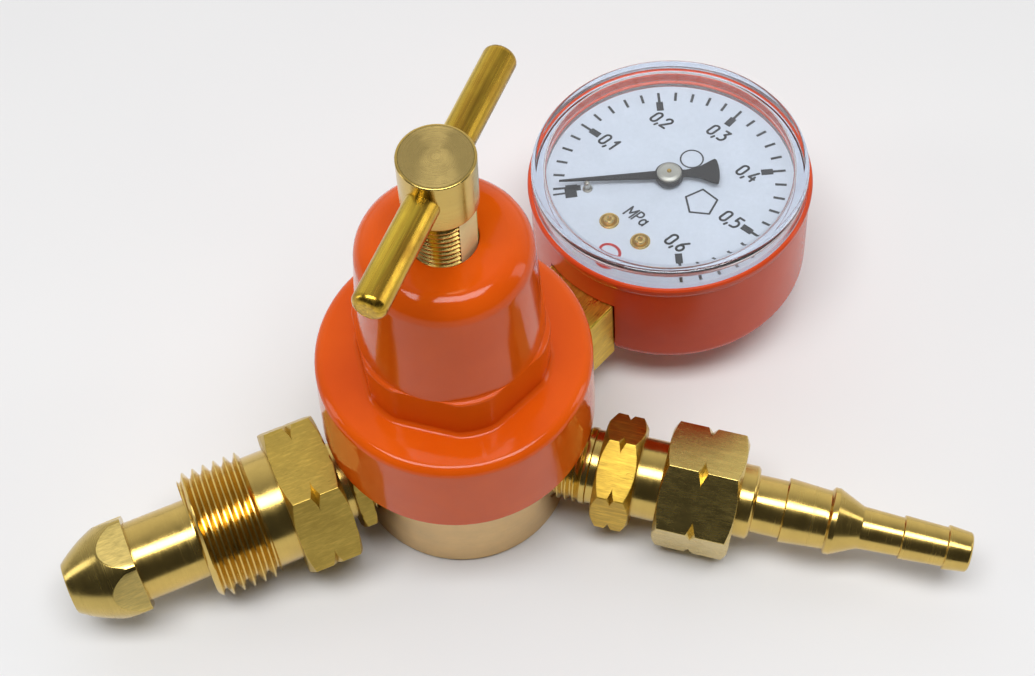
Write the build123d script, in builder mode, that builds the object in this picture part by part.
from build123d import *
import os
from math import atan2, cos, degrees, radians, sin

# Gas regulator: a brass body with a painted bonnet, a tee-handled adjusting screw on top, a
# left-hand cylinder connection on one side, a hose tail on the other and a pressure gauge behind.
# Millimetres and degrees. +Z is the axis of the body, the bonnet and the adjusting screw, and the
# origin is the centre of the base that the regulator stands on.

os.makedirs("parts", exist_ok=True)

# ---------------------------------------------------------------- driving dimensions
FIT = 0.05             # radial clearance of a screwed or pushed fit
RUN = 0.10             # radial clearance of a piece that turns or slides

# body
BASE_R = 18.4          # the bare brass cylinder below the bonnet
RIM_R = 19.8           # the male-threaded rim inside the bonnet skirt
RIM_BASE = 24.5
BODY_TOP = 36.0        # where the diaphragm is clamped
LOW_R = 16.2           # low-pressure chamber under the diaphragm
LOW_FLOOR = 27.0
HIGH_R = 5.5           # high-pressure chamber round the valve
HIGH_TOP = 17.0
NOZZLE_R = 4.0
PLUG_R = 7.5
PLUG_H = 6.0
DRILL_R = 1.5          # upright drillings that join two of the ports to the low-pressure chamber
DRILL_AT = 12.3

# bonnet
SKIRT_BASE = 23.5
SKIRT_R = 22.5         # at the skirt's foot; the casting tapers upwards
SKIRT_TOP_R = 21.75
SKIRT_TOP = 40.7
SKIRT_ROUND = 2.0
HEX_FLATS = 28.6
HEX_TURN_R = 15.2      # the hexagon's corners are turned down to this radius
HEX_TOP = 49.7
HEX_CORNER = -76.0     # heading of one corner
CAP_BASE_R = 14.45
CAP_TOP_R = 12.7
CAP_TOP = 71.65
CAP_ROUND = 4.2
SHOULDER = 37.75       # clamps the slip ring and the diaphragm
RECESS_R = 14.4
RECESS_TOP = 39.2
SPRING_ROOM_R = 10.6
SPRING_ROOM_TOP = 64.0

# adjusting screw, M10 x 1
SCREW_R = 4.93
SCREW_TIP = 59.6
SCREW_FLAT = 4.5       # the milled flat's distance from the axis
SCREW_FLAT_AT = -34.0
HEAD_R = 5.42
HEAD_BASE = 80.9
HEAD_TOP = 90.2
TEE_R = 2.5
TEE_LENGTH = 45.0
TEE_AT = 66.6
TEE_Z = 85.8
SCREW_TRAVEL = 6.0

# cylinder connection, W21.8 x 1/14 left hand
INLET_AT = 202.7
INLET_Z = 12.1
INLET_SOCKET = 12.0    # how near the body's axis the socket starts
PORT_THREAD_R = 6.58   # G 1/4
NIPPLE_R = 6.74
NIPPLE_HEX = (18.8, 21.2)
SHOULDER_AT = 57.6
NOSE_R = 8.85
NOSE_TIP = 69.0
NOSE_TIP_R = 4.2
NOSE_FLATS = 15.7
GAS_R = 2.5
NUT_BACK = 22.85
NUT_HEX_END = 32.2
NUT_FLATS = 24.0
NUT_COLLAR_R = 9.65
NUT_THREAD_START = 36.6
NUT_THREAD_R = 10.9
NUT_FRONT = 47.2

# outlet
OUTLET_AT = -16.0
OUTLET_Z = 10.85
OUTLET_SOCKET = 13.0
OUTLET_HEX = (24.4, 31.0)
OUTLET_FLATS = 17.0
OUTLET_NECK_R = 6.86
OUTLET_END_R = 7.0     # M14 x 1.5 under the union nut
OUTLET_END = 43.0
UNION_BACK = 35.2
UNION_FRONT = 48.1
UNION_FLATS = 19.0
UNION_BORE_R = 6.35
TAIL_HEAD = (43.6, 46.2)

# gauge: its own plane has X to the dial's right, Y away from the body, Z out of the dial
GAUGE_AT = 46.5
GAUGE_Z = 14.0         # the stem's axis
GAUGE_OUT = 55.2       # from the body's axis to the middle of the dial
GAUGE_LEAN = -4.4      # how far the gauge is turned about its stem
STEM_HALF = 7.0
STEM_SOCKET = 13.0
STEM_THREAD_R = 6.0
STEM_START = 21.0
CASE_R = 24.8
CASE_WALL = 0.8
CASE_BACK = -7.1
CASE_ROUND = 3.0
CASE_LIP = 14.7
COVER_R = 24.0
COVER_TOP = 18.4
WINDOW_R = 21.8
DIAL_R = 23.2
DIAL_FACE = 12.8
DIAL_THICK = 0.6
ZERO_ANGLE = 223.5     # the pointer's heading at rest, from the dial's X
PINION_TEETH = 10
SECTOR_TEETH = 80      # of a whole circle
GEAR_MODULE = 0.3
GEAR_Z = 7.0           # the middle of the gears, along the gauge's Z


# ---------------------------------------------------------------- planes and shared steps
def port_plane(azimuth, height):
    """A port's plane: local X runs out along the port and local Y is up."""
    out = Vector(cos(radians(azimuth)), sin(radians(azimuth)), 0)
    return Plane(origin=(0, 0, height), x_dir=out, z_dir=out.cross(Vector(0, 0, 1)))


def across(port, distance):
    """The plane square to a port at a distance from the body's axis; its local X is up."""
    return Plane(origin=port.origin + port.x_dir * distance, x_dir=port.y_dir, z_dir=port.x_dir)


def along(port):
    """A port's axis."""
    return Axis(port.origin, port.x_dir)


def turned(plane, outline, axis, mode=Mode.ADD):
    """Turns a closed outline about an axis."""
    with BuildSketch(plane) as section:
        with BuildLine():
            Polyline(*outline, close=True)
        make_face()
    revolve(section.sketch.faces(), axis=axis, mode=mode)


def hexagon(plane, flats, length, corner, mode=Mode.ADD):
    """A hexagonal bar, flats wide across its flats, with a corner at that angle."""
    with BuildSketch(plane) as section:
        RegularPolygon(flats / 2, 6, major_radius=False, rotation=corner)
    extrude(section.sketch, amount=length, mode=mode)


def bored(plane, radius, depth, mode=Mode.SUBTRACT):
    """A round hole, or with Mode.ADD a round bar."""
    with BuildSketch(plane) as mouth:
        Circle(radius)
    extrude(mouth.sketch, amount=depth, mode=mode)


def hex_outline(start, end, flats, chamfer):
    """The turned outline that chamfers both ends of a hexagon, as (along, radius) points."""
    corner = flats / 2 / cos(radians(30)) + 0.1
    return [(start, 0), (start, corner - 2 * chamfer), (start + chamfer, corner),
            (end - chamfer, corner), (end, corner - 2 * chamfer), (end, 0)]


def notch_outline(middle, flats):
    """The groove that nicks each corner of a left-hand hexagon at mid length."""
    corner = flats / 2 / cos(radians(30))
    return [(middle - 1.1, corner + 0.3), (middle, corner - 1.0), (middle + 1.1, corner + 0.3)]


def circles(piece, radius, middle, tolerance=0.02):
    """The round edges of a piece that have that radius and centre."""
    return [edge for edge in piece.edges().filter_by(GeomType.CIRCLE)
            if abs(edge.radius - radius) < tolerance
            and (edge.arc_center - Vector(middle)).length < tolerance]


def upright_coil(start, end, radius, wire, pitch):
    """The path and the wire plane of a coil spring about the body's axis."""
    line = Helix(pitch, end - start - 2 * wire, radius, center=(0, 0, start + wire))
    return line, Plane(origin=line @ 0, z_dir=line % 0)


UPRIGHT = Plane.XZ
UP = Axis.Z
INLET = port_plane(INLET_AT, INLET_Z)
OUTLET = port_plane(OUTLET_AT, OUTLET_Z)
STEM = port_plane(GAUGE_AT, GAUGE_Z)

lean = radians(GAUGE_LEAN)
dial_up = STEM.x_dir
dial_out = STEM.y_dir * cos(lean) + STEM.z_dir * sin(lean)
dial_right = STEM.z_dir * cos(lean) - STEM.y_dir * sin(lean)
gauge_middle = STEM.origin + STEM.x_dir * GAUGE_OUT
GAUGE = Plane(origin=gauge_middle, x_dir=dial_right, z_dir=dial_out)
GAUGE_SECTION = Plane(origin=gauge_middle, x_dir=dial_right, z_dir=dial_up * -1)
GAUGE_AXIS = Axis(gauge_middle, dial_out)


def stem_across(distance):
    """The plane square to the gauge's stem, leaning with the gauge; its local X is dial_out."""
    return Plane(origin=STEM.origin + STEM.x_dir * distance, x_dir=dial_out, z_dir=STEM.x_dir)


def dial_plane(height):
    """The gauge's plane at a height over the stem's axis."""
    return GAUGE.offset(height)


def spot(x, y, height):
    """A plane like the gauge's, with its origin at a point of the dial."""
    return Plane(origin=GAUGE.from_local_coords((x, y, height)), x_dir=dial_right, z_dir=dial_out)


# ---------------------------------------------------------------- body
with BuildPart() as body:
    turned(UPRIGHT, [(0, 0), (BASE_R - 0.6, 0), (BASE_R, 0.6), (BASE_R, RIM_BASE),
                     (RIM_R, RIM_BASE + 0.8),
                     (RIM_R, BODY_TOP), (LOW_R, BODY_TOP), (LOW_R, LOW_FLOOR), (0, LOW_FLOOR)], UP)
    turned(UPRIGHT, [(0, -1), (PLUG_R, -1), (PLUG_R, PLUG_H), (HIGH_R, PLUG_H), (HIGH_R, HIGH_TOP),
                     (NOZZLE_R, HIGH_TOP), (NOZZLE_R, LOW_FLOOR + 1), (0, LOW_FLOOR + 1)], UP,
           Mode.SUBTRACT)
    bored(across(INLET, INLET_SOCKET), PORT_THREAD_R + FIT, BASE_R)
    bored(across(INLET, 0), GAS_R, INLET_SOCKET + 1)
    bored(across(OUTLET, OUTLET_SOCKET), PORT_THREAD_R + FIT, BASE_R)
    bored(stem_across(STEM_SOCKET), STEM_THREAD_R + FIT, BASE_R)
    for port in (OUTLET, STEM):
        bored(across(port, DRILL_AT - DRILL_R), 3.5, 3)
        bored(Plane(origin=port.origin + port.x_dir * DRILL_AT), DRILL_R, LOW_FLOOR - port.origin.Z + 1)
body.part.label = "body"
export_step(body.part, "parts/body.step")

# ---------------------------------------------------------------- bonnet
with BuildPart() as bonnet:
    hexagon(Plane.XY.offset(SKIRT_TOP - 2), HEX_FLATS, HEX_TOP - SKIRT_TOP + 2, HEX_CORNER)
    bored(Plane.XY.offset(SKIRT_BASE), HEX_TURN_R, HEX_TOP, Mode.INTERSECT)
    turned(UPRIGHT, [(0, SKIRT_BASE), (SKIRT_R, SKIRT_BASE), (SKIRT_TOP_R, SKIRT_TOP), (0, SKIRT_TOP)],
           UP)
    fillet(circles(bonnet, SKIRT_TOP_R, (0, 0, SKIRT_TOP)), SKIRT_ROUND)
    fillet([edge for edge in bonnet.edges().filter_by_position(Axis.Z, SKIRT_TOP - 0.01, SKIRT_TOP + 0.01)
            if edge.length < HEX_FLATS], 1.0)
    fillet(bonnet.edges().filter_by_position(Axis.Z, HEX_TOP - 0.01, HEX_TOP + 0.01), 0.4)
    turned(UPRIGHT, [(0, SKIRT_TOP), (CAP_BASE_R - 0.3, SKIRT_TOP), (CAP_BASE_R, HEX_TOP - 0.4),
                     (CAP_TOP_R, CAP_TOP), (0, CAP_TOP)], UP)
    fillet(circles(bonnet, CAP_TOP_R, (0, 0, CAP_TOP)), CAP_ROUND)
    turned(UPRIGHT, [(0, SKIRT_BASE - 1), (RIM_R + FIT, SKIRT_BASE - 1), (RIM_R + FIT, SHOULDER),
                     (RECESS_R, SHOULDER), (RECESS_R, RECESS_TOP), (SPRING_ROOM_R, RECESS_TOP),
                     (SPRING_ROOM_R, SPRING_ROOM_TOP - 1), (SPRING_ROOM_R - 1, SPRING_ROOM_TOP),
                     (0, SPRING_ROOM_TOP)], UP, Mode.SUBTRACT)
    bored(Plane.XY.offset(SPRING_ROOM_TOP - 1), SCREW_R + RUN, CAP_TOP)
bonnet.part.label = "bonnet"
export_step(bonnet.part, "parts/bonnet.step")

# ---------------------------------------------------------------- adjusting screw and tee bar
tee_heading = Vector(cos(radians(TEE_AT)), sin(radians(TEE_AT)), 0)
tee_middle = Vector(0, 0, TEE_Z)
with BuildPart() as adjusting_screw:
    turned(UPRIGHT, [(0, SCREW_TIP), (2.6, SCREW_TIP), (4.0, SCREW_TIP + 0.7), (4.0, SCREW_TIP + 2.5),
                     (SCREW_R, SCREW_TIP + 3.4), (SCREW_R, HEAD_BASE), (HEAD_R - 0.3, HEAD_BASE),
                     (HEAD_R, HEAD_BASE + 0.3), (HEAD_R, HEAD_TOP - 0.5), (HEAD_R - 0.5, HEAD_TOP),
                     (0, HEAD_TOP)], UP)
    with BuildSketch(Plane(origin=(0, 0, SCREW_TIP + 2), x_dir=(cos(radians(SCREW_FLAT_AT)),
                                                               sin(radians(SCREW_FLAT_AT)),
                                                               0))) as beyond_flat:
        with Locations((SCREW_FLAT + SCREW_R / 2, 0)):
            Rectangle(SCREW_R, 2.2 * SCREW_R)
    extrude(beyond_flat.sketch, amount=HEAD_BASE - SCREW_TIP - 2, mode=Mode.SUBTRACT)
    bored(Plane(origin=tee_middle - tee_heading * TEE_LENGTH / 2, z_dir=tee_heading), TEE_R + 0.02,
          TEE_LENGTH)
adjusting_screw.part.label = "adjusting_screw"
export_step(adjusting_screw.part, "parts/adjusting_screw.step")

with BuildPart() as tee_bar:
    bored(Plane(origin=tee_middle - tee_heading * TEE_LENGTH / 2, z_dir=tee_heading), TEE_R, TEE_LENGTH,
          Mode.ADD)
    fillet(tee_bar.edges().filter_by(GeomType.CIRCLE), 1.1)
tee_bar.part.label = "tee_bar"
export_step(tee_bar.part, "parts/tee_bar.step")

# ---------------------------------------------------------------- spring and its two seats
BUTTON_BASE = 57.0
PLATE_TOP = 38.8
PLATE_BASE = 37.25
SEAT_R = 6.7
SPRING_R = 8.0
SPRING_WIRE = 0.9

with BuildPart() as spring_button:
    turned(UPRIGHT, [(0, BUTTON_BASE - 1.5), (SEAT_R, BUTTON_BASE - 1.5), (SEAT_R, BUTTON_BASE),
                     (SPRING_ROOM_R - 0.6, BUTTON_BASE), (SPRING_ROOM_R - 0.6, BUTTON_BASE + 1.4),
                     (6.0, SCREW_TIP + 0.9), (4.6, SCREW_TIP + 0.9), (4.4, SCREW_TIP - 0.05),
                     (0, SCREW_TIP - 0.05)], UP)
spring_button.part.label = "spring_button"
export_step(spring_button.part, "parts/spring_button.step")

with BuildPart() as main_spring:
    with BuildLine() as main_path:
        main_line, main_start = upright_coil(PLATE_TOP + 0.1, BUTTON_BASE - 0.1, SPRING_R, SPRING_WIRE,
                                             3.0)
    with BuildSketch(main_start) as main_wire:
        Circle(SPRING_WIRE)
    sweep(main_wire.sketch, path=main_line, is_frenet=True)
main_spring.part.label = "main_spring"
export_step(main_spring.part, "parts/main_spring.step")

# ---------------------------------------------------------------- diaphragm stack
DIAPHRAGM_THICK = 1.2
STUD_R = 2.5

with BuildPart() as diaphragm_plate:
    turned(UPRIGHT, [(0, 34.6), (STUD_R, 34.6), (STUD_R, PLATE_BASE), (RECESS_R - 1, PLATE_BASE),
                     (RECESS_R - 1, PLATE_TOP - 0.3), (RECESS_R - 1.3, PLATE_TOP), (SEAT_R, PLATE_TOP),
                     (SEAT_R, PLATE_TOP + 1.4), (SEAT_R - 0.4, PLATE_TOP + 1.8), (0, PLATE_TOP + 1.8)],
           UP)
diaphragm_plate.part.label = "diaphragm_plate"
export_step(diaphragm_plate.part, "parts/diaphragm_plate.step")

with BuildPart() as diaphragm:
    turned(UPRIGHT, [(STUD_R + FIT, BODY_TOP), (RIM_R - 0.4, BODY_TOP),
                     (RIM_R - 0.4, BODY_TOP + DIAPHRAGM_THICK),
                     (STUD_R + FIT, BODY_TOP + DIAPHRAGM_THICK)], UP)
diaphragm.part.label = "diaphragm"
export_step(diaphragm.part, "parts/diaphragm.step")

with BuildPart() as slip_ring:
    turned(UPRIGHT, [(LOW_R, BODY_TOP + DIAPHRAGM_THICK), (RIM_R - 0.3, BODY_TOP + DIAPHRAGM_THICK),
                     (RIM_R - 0.3, SHOULDER), (LOW_R, SHOULDER)], UP)
slip_ring.part.label = "slip_ring"
export_step(slip_ring.part, "parts/slip_ring.step")

with BuildPart() as diaphragm_nut:
    hexagon(Plane.XY.offset(33.4), 8.0, 2.4, 0)
    turned(UPRIGHT, [(0, 33.4), (4.1, 33.4), (4.8, 33.8), (4.8, 35.4), (12.0, 35.4),
                     (12.0, BODY_TOP - FIT),
                     (0, BODY_TOP - FIT)], UP)
    bored(Plane.XY.offset(34.5), STUD_R + FIT, 3)
diaphragm_nut.part.label = "diaphragm_nut"
export_step(diaphragm_nut.part, "parts/diaphragm_nut.step")

# ---------------------------------------------------------------- valve
SEAT_LIP = 15.4
ORIFICE_R = 1.6
PIN_R = 1.0

with BuildPart() as seat_nozzle:
    hexagon(Plane.XY.offset(LOW_FLOOR), 10.0, 2.0, 0)
    turned(UPRIGHT, [(0, SEAT_LIP), (ORIFICE_R + 0.5, SEAT_LIP), (NOZZLE_R - 1.0, HIGH_TOP - 0.6),
                     (NOZZLE_R - FIT, HIGH_TOP), (NOZZLE_R - FIT, LOW_FLOOR), (0, LOW_FLOOR)], UP)
    bored(Plane.XY.offset(SEAT_LIP - 1), ORIFICE_R, LOW_FLOOR)
seat_nozzle.part.label = "seat_nozzle"
export_step(seat_nozzle.part, "parts/seat_nozzle.step")

with BuildPart() as valve_pin:
    turned(UPRIGHT, [(0, 13.42), (PIN_R, 13.42), (PIN_R, 33.0), (PIN_R - 0.3, 33.35), (0, 33.35)], UP)
valve_pin.part.label = "valve_pin"
export_step(valve_pin.part, "parts/valve_pin.step")

with BuildPart() as valve_seal:
    turned(UPRIGHT, [(PIN_R + FIT, 14.0), (3.0, 14.0), (3.0, SEAT_LIP - 0.03),
                     (PIN_R + FIT, SEAT_LIP - 0.03)], UP)
valve_seal.part.label = "valve_seal"
export_step(valve_seal.part, "parts/valve_seal.step")

with BuildPart() as valve_poppet:
    turned(UPRIGHT, [(0, 9.4), (1.6, 9.4), (1.9, 9.7), (1.9, 11.4), (3.9, 11.4), (3.9, 15.0),
                     (3.0 + FIT, 15.0),
                     (3.0 + FIT, 14.0 - 0.02), (PIN_R + FIT, 14.0 - 0.02), (PIN_R + FIT, 13.4),
                     (0, 13.4)], UP)
valve_poppet.part.label = "valve_poppet"
export_step(valve_poppet.part, "parts/valve_poppet.step")

with BuildPart() as valve_spring:
    with BuildLine() as valve_path:
        valve_line, valve_start = upright_coil(5.1, 11.3, 2.6, 0.3, 1.3)
    with BuildSketch(valve_start) as valve_wire:
        Circle(0.3)
    sweep(valve_wire.sketch, path=valve_line, is_frenet=True)
valve_spring.part.label = "valve_spring"
export_step(valve_spring.part, "parts/valve_spring.step")

# the plug under the valve: flush with the base, with two spanner holes
with BuildPart() as base_plug:
    turned(UPRIGHT, [(0, 0), (PLUG_R - 0.5, 0), (PLUG_R - FIT, 0.45), (PLUG_R - FIT, 4.1), (6.3, 4.1),
                     (6.3, 5.6),
                     (PLUG_R - FIT, 5.6), (PLUG_R - FIT, 5.9), (3.6, 5.9), (3.6, 5.0), (0, 5.0)], UP)
    with BuildSketch(Plane.XY) as spanner_holes:
        with PolarLocations(5.0, 2, start_angle=20):
            Circle(1.2)
    extrude(spanner_holes.sketch, amount=2.5, mode=Mode.SUBTRACT)
base_plug.part.label = "base_plug"
export_step(base_plug.part, "parts/base_plug.step")

with BuildPart() as plug_ring:
    with BuildSketch(UPRIGHT) as ring_section:
        with Locations((6.88, 4.85)):
            Circle(0.55)
    revolve(ring_section.sketch.faces(), axis=UP)
plug_ring.part.label = "plug_ring"
export_step(plug_ring.part, "parts/plug_ring.step")

# ---------------------------------------------------------------- cylinder connection
with BuildPart() as inlet_nipple:
    hexagon(across(INLET, SHOULDER_AT), NOSE_FLATS, NOSE_TIP - SHOULDER_AT, 30)
    with BuildSketch(INLET) as nose:
        with BuildLine():
            Polyline((SHOULDER_AT, 0), (SHOULDER_AT, NOSE_R - 0.3), (SHOULDER_AT + 0.3, NOSE_R))
            Line((SHOULDER_AT + 0.3, NOSE_R), (SHOULDER_AT + 1.4, NOSE_R))
            ThreePointArc((SHOULDER_AT + 1.4, NOSE_R), (64.6, 7.0), (NOSE_TIP, NOSE_TIP_R))
            Polyline((NOSE_TIP, NOSE_TIP_R), (NOSE_TIP, 0), (SHOULDER_AT, 0))
        make_face()
    revolve(nose.sketch.faces(), axis=along(INLET), mode=Mode.INTERSECT)
    hexagon(across(INLET, NIPPLE_HEX[0]), OUTLET_FLATS, NIPPLE_HEX[1] - NIPPLE_HEX[0], 0)
    turned(INLET, [(INLET_SOCKET + 0.4, 0), (INLET_SOCKET + 0.4, PORT_THREAD_R - 0.8),
                   (INLET_SOCKET + 1.2, PORT_THREAD_R), (NIPPLE_HEX[0], PORT_THREAD_R),
                   (NIPPLE_HEX[1], NIPPLE_R),
                   (SHOULDER_AT, NIPPLE_R), (SHOULDER_AT, 0)], along(INLET))
    bored(across(INLET, 0), GAS_R, NOSE_TIP + 1)
    bored(across(INLET, 0), 4.0, INLET_SOCKET + 3.6)
inlet_nipple.part.label = "inlet_nipple"
export_step(inlet_nipple.part, "parts/inlet_nipple.step")

with BuildPart() as inlet_filter:
    bored(across(INLET, INLET_SOCKET + 0.5), 4.0 - FIT, 3.0, Mode.ADD)
inlet_filter.part.label = "inlet_filter"
export_step(inlet_filter.part, "parts/inlet_filter.step")

with BuildPart() as inlet_nut:
    hexagon(across(INLET, NUT_BACK), NUT_FLATS, NUT_HEX_END - NUT_BACK, 30)
    turned(INLET, hex_outline(NUT_BACK, NUT_HEX_END, NUT_FLATS, 0.9), along(INLET), Mode.INTERSECT)
    turned(INLET, notch_outline((NUT_BACK + NUT_HEX_END) / 2, NUT_FLATS), along(INLET), Mode.SUBTRACT)
    turned(INLET, [(NUT_HEX_END, 0), (NUT_HEX_END, NUT_COLLAR_R), (NUT_THREAD_START, NUT_COLLAR_R),
                   (NUT_THREAD_START + 0.8, NUT_THREAD_R), (NUT_FRONT - 1.0, NUT_THREAD_R),
                   (NUT_FRONT, NUT_THREAD_R - 1.0), (NUT_FRONT, 0)], along(INLET))
    bored(across(INLET, 0), NIPPLE_R + 0.15, NUT_FRONT + 1)
    turned(INLET, [(NUT_FRONT + 0.1, 0), (NUT_FRONT + 0.1, 7.9), (NUT_FRONT - 0.9, 6.8),
                   (NUT_FRONT - 0.9, 0)],
           along(INLET), Mode.SUBTRACT)
inlet_nut.part.label = "inlet_nut"
export_step(inlet_nut.part, "parts/inlet_nut.step")

# ---------------------------------------------------------------- outlet
with BuildPart() as outlet_adaptor:
    hexagon(across(OUTLET, OUTLET_HEX[0]), OUTLET_FLATS, OUTLET_HEX[1] - OUTLET_HEX[0], -4)
    turned(OUTLET, hex_outline(*OUTLET_HEX, OUTLET_FLATS, 1.0), along(OUTLET), Mode.INTERSECT)
    turned(OUTLET, notch_outline(sum(OUTLET_HEX) / 2, OUTLET_FLATS), along(OUTLET), Mode.SUBTRACT)
    turned(OUTLET, [(OUTLET_SOCKET + 0.4, 0), (OUTLET_SOCKET + 0.4, PORT_THREAD_R - 0.8),
                    (OUTLET_SOCKET + 1.2, PORT_THREAD_R), (OUTLET_HEX[0], PORT_THREAD_R),
                    (OUTLET_HEX[1], OUTLET_NECK_R), (UNION_BACK, OUTLET_NECK_R),
                    (UNION_BACK + 0.3, OUTLET_END_R),
                    (OUTLET_END - 0.8, OUTLET_END_R), (OUTLET_END, OUTLET_END_R - 0.8), (OUTLET_END, 0)],
           along(OUTLET))
    bored(across(OUTLET, 0), 2.8, OUTLET_END + 1)
outlet_adaptor.part.label = "outlet_adaptor"
export_step(outlet_adaptor.part, "parts/outlet_adaptor.step")

with BuildPart() as union_washer:
    bored(across(OUTLET, OUTLET_END + 0.02), OUTLET_END_R - 0.9, TAIL_HEAD[0] - OUTLET_END - 0.04,
          Mode.ADD)
    bored(across(OUTLET, OUTLET_END - 1), 3.0, 3.0)
union_washer.part.label = "union_washer"
export_step(union_washer.part, "parts/union_washer.step")

with BuildPart() as union_nut:
    hexagon(across(OUTLET, UNION_BACK), UNION_FLATS, UNION_FRONT - UNION_BACK, 10.2)
    turned(OUTLET, hex_outline(UNION_BACK, UNION_FRONT, UNION_FLATS, 0.9), along(OUTLET), Mode.INTERSECT)
    turned(OUTLET, notch_outline((UNION_BACK + UNION_FRONT) / 2, UNION_FLATS), along(OUTLET),
           Mode.SUBTRACT)
    turned(OUTLET, [(UNION_BACK - 1, 0), (UNION_BACK - 1, OUTLET_END_R + RUN),
                    (TAIL_HEAD[1] + 0.05, OUTLET_END_R + RUN),
                    (TAIL_HEAD[1] + 0.05, UNION_BORE_R), (UNION_FRONT + 1, UNION_BORE_R),
                    (UNION_FRONT + 1, 0)],
           along(OUTLET), Mode.SUBTRACT)
union_nut.part.label = "union_nut"
export_step(union_nut.part, "parts/union_nut.step")

# a stepped tail for two hose bores, with sharp-backed barbs; (along, radius) points
tail_outline = [
    (TAIL_HEAD[0], 0), (TAIL_HEAD[0], 6.0), (TAIL_HEAD[0] + 0.4, 6.75), (TAIL_HEAD[1], 6.75),
    (TAIL_HEAD[1], 6.2),
    (UNION_FRONT, 6.2), (50.3, 6.2), (50.7, 5.8), (50.9, 4.87), (55.6, 4.87),
    (55.8, 5.45), (62.4, 4.95), (62.9, 4.95), (63.3, 5.6), (64.2, 5.6), (68.5, 3.57),
    (75.2, 3.25), (75.4, 3.65), (82.4, 3.3), (82.7, 3.72), (86.2, 3.3), (86.5, 3.1), (86.5, 0)]
with BuildPart() as hose_tail:
    turned(OUTLET, tail_outline, along(OUTLET))
    bored(across(OUTLET, TAIL_HEAD[0] - 1), 2.2, 50)
hose_tail.part.label = "hose_tail"
export_step(hose_tail.part, "parts/hose_tail.step")

# ---------------------------------------------------------------- gauge: tube and its block
TUBE_R = 19.0
TUBE_Z = -0.9
TUBE_HALF = (1.2,
             3.2)                # half the flattened tube's section, across and along the gauge's axis
TUBE_WALL = 0.3
TIP_AT = 66.5                         # heading of the tube's free end on the dial
TUBE_SWEEP = 201.5
BLOCK_HALF = 5.0
STEM_END = GAUGE_OUT - 23.4           # the square block ends in the case wall
BLOCK_END = GAUGE_OUT - 15.5          # the inner block that carries the tube and the movement
BLOCK_TOP = TUBE_Z + BLOCK_HALF


def tube_section(heading):
    """A plane square to the tube at that heading, its local X pointing out of the gauge's axis."""
    radial = dial_right * cos(radians(heading)) + dial_up * sin(radians(heading))
    return Plane(origin=gauge_middle + radial * TUBE_R + dial_out * TUBE_Z, x_dir=radial,
                 z_dir=dial_out.cross(radial))


def round_the_gauge(heading, sweep_angle, half, wall=0, mode=Mode.ADD):
    """An oval section carried round the gauge's axis."""
    with BuildSketch(tube_section(heading)) as oval:
        Ellipse(*half)
        if wall:
            Ellipse(half[0] - wall, half[1] - wall, mode=Mode.SUBTRACT)
    revolve(oval.sketch.faces(), axis=GAUGE_AXIS, revolution_arc=sweep_angle, mode=mode)


with BuildPart() as gauge_stem:
    with BuildSketch(stem_across(STEM_START)) as square_bar:
        Rectangle(2 * STEM_HALF, 2 * STEM_HALF)
    extrude(square_bar.sketch, amount=STEM_END - STEM_START)
    chamfer(gauge_stem.edges().filter_by(Axis(STEM.origin, STEM.x_dir)), 0.3)
    bored(stem_across(STEM_SOCKET + 0.4), STEM_THREAD_R, STEM_START - STEM_SOCKET, Mode.ADD)
    with BuildSketch(stem_across(STEM_END)) as inner_bar:
        with Locations((TUBE_Z, 0)):
            Rectangle(2 * BLOCK_HALF, 2 * BLOCK_HALF)
    extrude(inner_bar.sketch, amount=BLOCK_END - STEM_END)
    round_the_gauge(250, 26, (TUBE_HALF[0] + FIT, TUBE_HALF[1] + FIT), mode=Mode.SUBTRACT)
    bored(stem_across(STEM_SOCKET), 1.2, GAUGE_OUT - TUBE_R + 0.5 - STEM_SOCKET)
    bored(stem_across(STEM_SOCKET), 2.0, 4.0)
    for side in (-1, 1):
        bored(spot(side * 3.2, -16.7, BLOCK_TOP - 2.2), 0.65, 3)
gauge_stem.part.label = "gauge_stem"
export_step(gauge_stem.part, "parts/gauge_stem.step")

with BuildPart() as restrictor_screw:
    bored(stem_across(STEM_SOCKET + 0.9), 2.0 - FIT, 2.8, Mode.ADD)
    bored(stem_across(STEM_SOCKET), 0.3, 6.0)
restrictor_screw.part.label = "restrictor_screw"
export_step(restrictor_screw.part, "parts/restrictor_screw.step")

with BuildPart() as bourdon_tube:
    round_the_gauge(TIP_AT, TUBE_SWEEP, TUBE_HALF, TUBE_WALL)
bourdon_tube.part.label = "bourdon_tube"
export_step(bourdon_tube.part, "parts/bourdon_tube.step")

# ---------------------------------------------------------------- gauge: case, cover, dial
CASE_SIDE_R = CASE_R - 0.1            # the wall is swaged out to CASE_R at the lip
CASE_INNER_R = CASE_R - CASE_WALL
bend = CASE_ROUND * (1 - cos(radians(45)))

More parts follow.
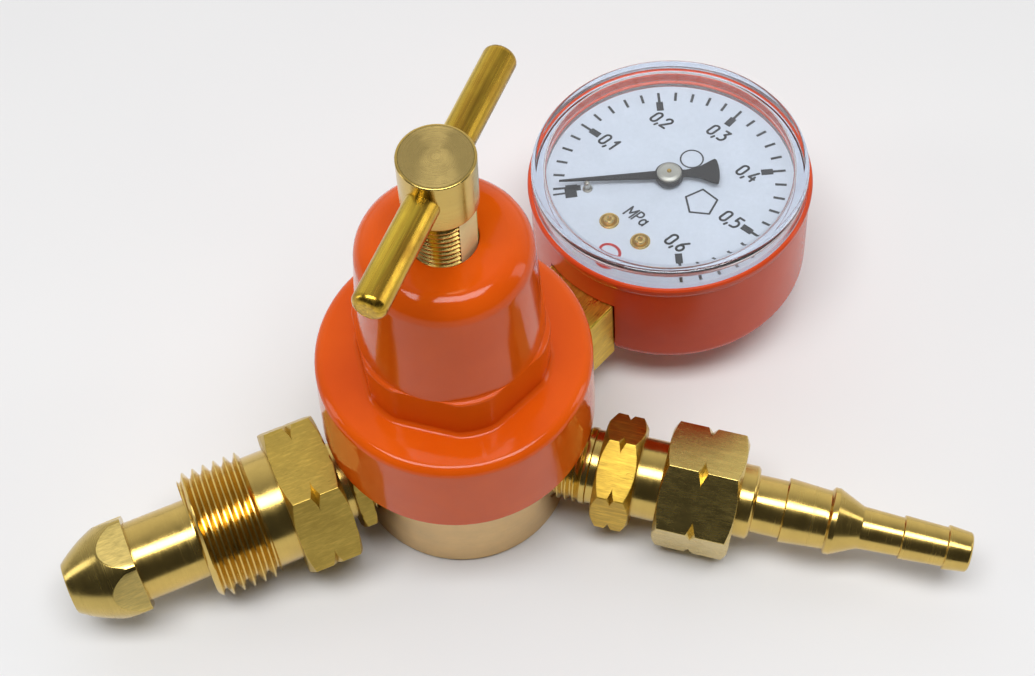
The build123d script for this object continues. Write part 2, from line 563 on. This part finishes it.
with BuildPart() as gauge_case:
    with BuildSketch(GAUGE_SECTION) as pan:
        with BuildLine():
            Line((0, CASE_BACK), (CASE_SIDE_R - CASE_ROUND, CASE_BACK))
            ThreePointArc((CASE_SIDE_R - CASE_ROUND, CASE_BACK), (CASE_SIDE_R - bend, CASE_BACK + bend),
                          (CASE_SIDE_R, CASE_BACK + CASE_ROUND))
            Polyline((CASE_SIDE_R, CASE_BACK + CASE_ROUND), (CASE_SIDE_R - 0.3, CASE_LIP - 1.0),
                     (CASE_R, CASE_LIP - 0.7), (CASE_R, CASE_LIP - 0.2), (CASE_R - 0.2, CASE_LIP),
                     (COVER_R + FIT, CASE_LIP), (COVER_R + FIT, CASE_LIP - 1.2),
                     (CASE_INNER_R - 0.4, CASE_LIP - 1.5),
                     (CASE_INNER_R - 0.2, CASE_BACK + 2.4), (CASE_INNER_R - 2.4, CASE_BACK + CASE_WALL),
                     (0, CASE_BACK + CASE_WALL), (0, CASE_BACK))
        make_face()
    revolve(pan.sketch.faces(), axis=GAUGE_AXIS)
    for half, depth in ((STEM_HALF + 0.15, 0.15), (BLOCK_HALF + 0.3, 2.0)):
        with BuildSketch(stem_across(STEM_START)) as stem_hole:
            with Locations((0 if half > STEM_HALF else TUBE_Z, 0)):
                Rectangle(2 * half, 2 * half)
        extrude(stem_hole.sketch, amount=STEM_END - STEM_START + depth, mode=Mode.SUBTRACT)
gauge_case.part.label = "gauge_case"
export_step(gauge_case.part, "parts/gauge_case.step")

with BuildPart() as gauge_cover:
    with BuildSketch(GAUGE_SECTION) as bowl:
        with BuildLine():
            Line((0, COVER_TOP), (COVER_R - 1.6, COVER_TOP))
            ThreePointArc((COVER_R - 1.6, COVER_TOP), (COVER_R - 0.47, COVER_TOP - 0.47),
                          (COVER_R, COVER_TOP - 1.6))
            Polyline((COVER_R, COVER_TOP - 1.6), (COVER_R, CASE_LIP - 1.15),
                     (COVER_R - 0.55, CASE_LIP - 1.15),
                     (COVER_R - 0.55, DIAL_FACE + 0.05), (WINDOW_R, DIAL_FACE + 0.05),
                     (WINDOW_R, COVER_TOP - 1.8),
                     (WINDOW_R - 0.5, COVER_TOP - 1.3), (0, COVER_TOP - 1.3), (0, COVER_TOP))
        make_face()
    revolve(bowl.sketch.faces(), axis=GAUGE_AXIS)
gauge_cover.part.label = "gauge_cover"
export_step(gauge_cover.part, "parts/gauge_cover.step")

DIAL_SCREWS = ((-2.2, -13.6), (4.8, -13.6))
with BuildPart() as gauge_dial:
    bored(dial_plane(DIAL_FACE - DIAL_THICK), DIAL_R, DIAL_THICK, Mode.ADD)
    bored(dial_plane(DIAL_FACE - 1), 1.4, 2)
    for x, y in DIAL_SCREWS:
        bored(spot(x, y, DIAL_FACE - 1), 0.8, 2)
gauge_dial.part.label = "gauge_dial"
export_step(gauge_dial.part, "parts/gauge_dial.step")

with BuildPart() as dial_screws:
    for x, y in DIAL_SCREWS:
        bored(spot(x, y, DIAL_FACE - DIAL_THICK - 2.0), 0.75, 2.7, Mode.ADD)
        turned(Plane(origin=GAUGE.from_local_coords((x, y, 0)), x_dir=dial_right, z_dir=dial_up * -1),
               [(0, DIAL_FACE + 0.02), (1.6, DIAL_FACE + 0.02), (1.6, DIAL_FACE + 0.5),
                (1.2, DIAL_FACE + 0.85),
                (0.7, DIAL_FACE + 0.9), (0.7, DIAL_FACE + 0.5), (0, DIAL_FACE + 0.5)],
               Axis(GAUGE.from_local_coords((x, y, 0)), dial_out))
dial_screws.part.label = "dial_screws"
export_step(dial_screws.part, "parts/dial_screws.step")

# ---------------------------------------------------------------- gauge movement
PINION_R = GEAR_MODULE * PINION_TEETH / 2
SECTOR_R = GEAR_MODULE * SECTOR_TEETH / 2
CENTRES = PINION_R + SECTOR_R
SECTOR_AT = 300.0                     # heading of the sector's pivot from the pinion, on the dial
TOOTH_PITCH = 360 / SECTOR_TEETH
ARBOR_R = 0.5
PLATE_THICK = 1.0
BACK_PLATE = BLOCK_TOP + 0.02
FRONT_PLATE = 10.0
TAIL_R = 5.5                          # from the sector's pivot to the link's pin
TAIL_AT = -10.0
LINK_PIN_R = 0.4
LINK_Z = 7.7
LINK_TRAVEL = 3.4                     # length of the slot at the tube's end of the link
LINK_EYE_R = 1.25
POSTS = ((-8.3, 1.8), (8.5, 1.8), (-8.3, -17.5), (8.5, -17.8))
sector_x = CENTRES * cos(radians(SECTOR_AT))
sector_y = CENTRES * sin(radians(SECTOR_AT))
tail_x = sector_x + TAIL_R * cos(radians(TAIL_AT))
tail_y = sector_y + TAIL_R * sin(radians(TAIL_AT))
lug_at = TIP_AT - 3
lug_x = TUBE_R * cos(radians(lug_at))
lug_y = TUBE_R * sin(radians(lug_at))
link_at = degrees(atan2(lug_y - tail_y, lug_x - tail_x))
slot_x = lug_x - LINK_TRAVEL / 2 * cos(radians(link_at))
slot_y = lug_y - LINK_TRAVEL / 2 * sin(radians(link_at))


def gear_tooth(pitch_radius):
    """One tooth's outline pointing along local X, on the pitch circle."""
    half = GEAR_MODULE * 0.72
    Polygon((pitch_radius - 1.2 * GEAR_MODULE, -half), (pitch_radius + 0.8 * GEAR_MODULE, -0.35 * half),
            (pitch_radius + 0.8 * GEAR_MODULE, 0.35 * half), (pitch_radius - 1.2 * GEAR_MODULE, half),
            align=None)


with BuildPart() as pinion_arbor:
    bored(dial_plane(BACK_PLATE + 0.1), ARBOR_R, DIAL_FACE + 1.6 - BACK_PLATE, Mode.ADD)
    with BuildSketch(dial_plane(GEAR_Z - 1.0)) as pinion_teeth:
        Circle(PINION_R - GEAR_MODULE)
        with PolarLocations(0, PINION_TEETH, start_angle=SECTOR_AT + 180 / PINION_TEETH):
            gear_tooth(PINION_R)
    extrude(pinion_teeth.sketch, amount=2.0)
pinion_arbor.part.label = "pinion_arbor"
export_step(pinion_arbor.part, "parts/pinion_arbor.step")

first_tooth = SECTOR_AT + 180 - 10 * TOOTH_PITCH
last_tooth = first_tooth + 12 * TOOTH_PITCH
web_r = SECTOR_R - GEAR_MODULE
with BuildPart() as sector_gear:
    with BuildSketch(spot(sector_x, sector_y, GEAR_Z - 0.5)) as sector_shape:
        with BuildLine():
            Line((0, 0), (web_r * cos(radians(first_tooth - 2)), web_r * sin(radians(first_tooth - 2))))
            CenterArc((0, 0), web_r, first_tooth - 2, last_tooth - first_tooth + 4)
            Line((web_r * cos(radians(last_tooth + 2)), web_r * sin(radians(last_tooth + 2))), (0, 0))
        make_face()
        with PolarLocations(0, 13, start_angle=first_tooth, angular_range=12 * TOOTH_PITCH,
                            endpoint=True):
            gear_tooth(SECTOR_R)
        Circle(1.6)
        with Locations((tail_x - sector_x, tail_y - sector_y)):
            Circle(1.1)
        with Locations(((tail_x - sector_x) / 2, (tail_y - sector_y) / 2)):
            Rectangle(TAIL_R, 1.8, rotation=TAIL_AT)
        Circle(ARBOR_R, mode=Mode.SUBTRACT)
    extrude(sector_shape.sketch, amount=1.0)
    bored(spot(tail_x, tail_y, GEAR_Z), LINK_PIN_R, LINK_Z + 0.8 - GEAR_Z, Mode.ADD)
sector_gear.part.label = "sector_gear"
export_step(sector_gear.part, "parts/sector_gear.step")

with BuildPart() as sector_arbor:
    bored(spot(sector_x, sector_y, BACK_PLATE + 0.1), ARBOR_R - 0.01, FRONT_PLATE + 0.8 - BACK_PLATE,
          Mode.ADD)
sector_arbor.part.label = "sector_arbor"
export_step(sector_arbor.part, "parts/sector_arbor.step")


def movement_plate(height, screw_holes):
    """One of the movement's two plates, with bearing holes for both arbors."""
    with BuildSketch(dial_plane(height)) as plate:
        with Locations((0, -8)):
            RectangleRounded(20, 23, 2)
        with Locations((0, 0), (sector_x, sector_y)):
            Circle(ARBOR_R + RUN, mode=Mode.SUBTRACT)
        with Locations(*screw_holes):
            Circle(0.8, mode=Mode.SUBTRACT)
        with Locations(*POSTS):
            Circle(0.7, mode=Mode.SUBTRACT)
    extrude(plate.sketch, amount=PLATE_THICK)


BLOCK_SCREWS = ((-3.2, -16.7), (3.2, -16.7))
with BuildPart() as back_plate:
    movement_plate(BACK_PLATE, BLOCK_SCREWS)
back_plate.part.label = "back_plate"
export_step(back_plate.part, "parts/back_plate.step")

with BuildPart() as front_plate:
    movement_plate(FRONT_PLATE, DIAL_SCREWS)
front_plate.part.label = "front_plate"
export_step(front_plate.part, "parts/front_plate.step")

with BuildPart() as plate_pillars:
    for x, y in POSTS:
        bored(spot(x, y, BACK_PLATE + 0.02), 0.68, FRONT_PLATE + PLATE_THICK - BACK_PLATE - 0.04,
              Mode.ADD)
        bored(spot(x, y, BACK_PLATE + PLATE_THICK), 0.95, FRONT_PLATE - BACK_PLATE - PLATE_THICK,
              Mode.ADD)
plate_pillars.part.label = "plate_pillars"
export_step(plate_pillars.part, "parts/plate_pillars.step")

with BuildPart() as dial_spacers:
    for x, y in DIAL_SCREWS:
        bored(spot(x, y, FRONT_PLATE + PLATE_THICK), 1.4,
              DIAL_FACE - DIAL_THICK - FRONT_PLATE - PLATE_THICK, Mode.ADD)
        bored(spot(x, y, FRONT_PLATE), 0.78, 4)
dial_spacers.part.label = "dial_spacers"
export_step(dial_spacers.part, "parts/dial_spacers.step")

with BuildPart() as movement_screws:
    for x, y in BLOCK_SCREWS:
        bored(spot(x, y, BLOCK_TOP - 2.0), 0.62, BACK_PLATE + PLATE_THICK + 2.3 - BLOCK_TOP, Mode.ADD)
        bored(spot(x, y, BACK_PLATE + PLATE_THICK), 1.1, 0.6, Mode.ADD)
        with BuildSketch(spot(x, y, BACK_PLATE + PLATE_THICK + 0.3)) as slot:
            Rectangle(0.35, 3)
        extrude(slot.sketch, amount=1, mode=Mode.SUBTRACT)
movement_screws.part.label = "movement_screws"
export_step(movement_screws.part, "parts/movement_screws.step")

SPIRAL_TURNS = 4
SPIRAL_START = 0.9
SPIRAL_STEP = 0.55
spiral_steps = [step * 15 for step in range(SPIRAL_TURNS * 24 + 1)]


def spiral_side(shift):
    """Points along one side of the hairspring's strip."""
    return [((SPIRAL_START + SPIRAL_STEP * angle / 360 + shift) * cos(radians(angle)),
             (SPIRAL_START + SPIRAL_STEP * angle / 360 + shift) * sin(radians(angle)))
            for angle in spiral_steps]


with BuildPart() as hairspring:
    with BuildSketch(dial_plane(8.6)) as spiral:
        with BuildLine():
            Polyline(*spiral_side(0), *reversed(spiral_side(0.12)), close=True)
        make_face()
    extrude(spiral.sketch, amount=0.5)
hairspring.part.label = "hairspring"
export_step(hairspring.part, "parts/hairspring.step")

with BuildPart() as tube_tip:
    with BuildSketch(tube_section(TIP_AT - 6)) as tip_end:
        Rectangle(3.0, 2 * TUBE_HALF[1] + 0.6)
    revolve(tip_end.sketch.faces(), axis=GAUGE_AXIS, revolution_arc=5.9)
    round_the_gauge(TIP_AT - 1, 5, (TUBE_HALF[0] - TUBE_WALL - FIT, TUBE_HALF[1] - TUBE_WALL - FIT))
    bored(spot(lug_x, lug_y, TUBE_Z), 0.9, LINK_Z - 0.1 - TUBE_Z, Mode.ADD)
    bored(spot(lug_x, lug_y, TUBE_Z), LINK_PIN_R, LINK_Z + 0.8 - TUBE_Z, Mode.ADD)
tube_tip.part.label = "tube_tip"
export_step(tube_tip.part, "parts/tube_tip.step")

with BuildPart() as connecting_link:
    with BuildSketch(dial_plane(LINK_Z)) as link_bar:
        with BuildLine():
            Line((tail_x, tail_y), (lug_x, lug_y))
        trace(line_width=1.0)
        with Locations((tail_x, tail_y)):
            Circle(LINK_EYE_R)
            Circle(LINK_EYE_R - 0.5, mode=Mode.SUBTRACT)
        with Locations((slot_x, slot_y)):
            SlotCenterToCenter(LINK_TRAVEL, 2 * LINK_EYE_R, rotation=link_at)
            SlotCenterToCenter(LINK_TRAVEL, 2 * LINK_PIN_R + 4 * FIT, rotation=link_at,
                               mode=Mode.SUBTRACT)
    extrude(link_bar.sketch, amount=0.5)
connecting_link.part.label = "connecting_link"
export_step(connecting_link.part, "parts/connecting_link.step")

# ---------------------------------------------------------------- pointer, hub and stop pin
POINTER_BASE = 14.2
POINTER_THICK = 0.3
POINTER_TIP = 19.3
POINTER_TAIL = 8.5
pointer_heading = Vector(cos(radians(ZERO_ANGLE)), sin(radians(ZERO_ANGLE)), 0)
along_pointer = dial_right * pointer_heading.X + dial_up * pointer_heading.Y

with BuildPart() as pointer:
    with BuildSketch(Plane(origin=gauge_middle + dial_out * POINTER_BASE, x_dir=along_pointer,
                           z_dir=dial_out)) as needle:
        with BuildLine():
            Polyline((POINTER_TIP, -0.12), (POINTER_TIP, 0.12), (0, 0.95), (-3.0, 0.75),
                     (-POINTER_TAIL, 3.0),
                     (-POINTER_TAIL, -3.0), (-3.0, -0.75), (0, -0.95), close=True)
        make_face()
        Circle(2.4)
        Circle(0.9, mode=Mode.SUBTRACT)
    extrude(needle.sketch, amount=POINTER_THICK)
pointer.part.label = "pointer"
export_step(pointer.part, "parts/pointer.step")

with BuildPart() as pointer_hub:
    turned(GAUGE_SECTION, [(ARBOR_R + 0.01, POINTER_BASE - 0.7), (0.85, POINTER_BASE - 0.7),
                           (0.85, POINTER_BASE + POINTER_THICK + 0.01),
                           (1.9, POINTER_BASE + POINTER_THICK + 0.01),
                           (1.9, POINTER_BASE + 0.8), (1.5, POINTER_BASE + 1.1), (0, POINTER_BASE + 1.1),
                           (0, POINTER_BASE + 0.7), (ARBOR_R + 0.01, POINTER_BASE + 0.7)], GAUGE_AXIS)
pointer_hub.part.label = "pointer_hub"
export_step(pointer_hub.part, "parts/pointer_hub.step")

with BuildPart() as stop_pin:
    bored(spot(-9.8, -10.6, DIAL_FACE + 0.01), 0.45, 1.9, Mode.ADD)
stop_pin.part.label = "stop_pin"
export_step(stop_pin.part, "parts/stop_pin.step")
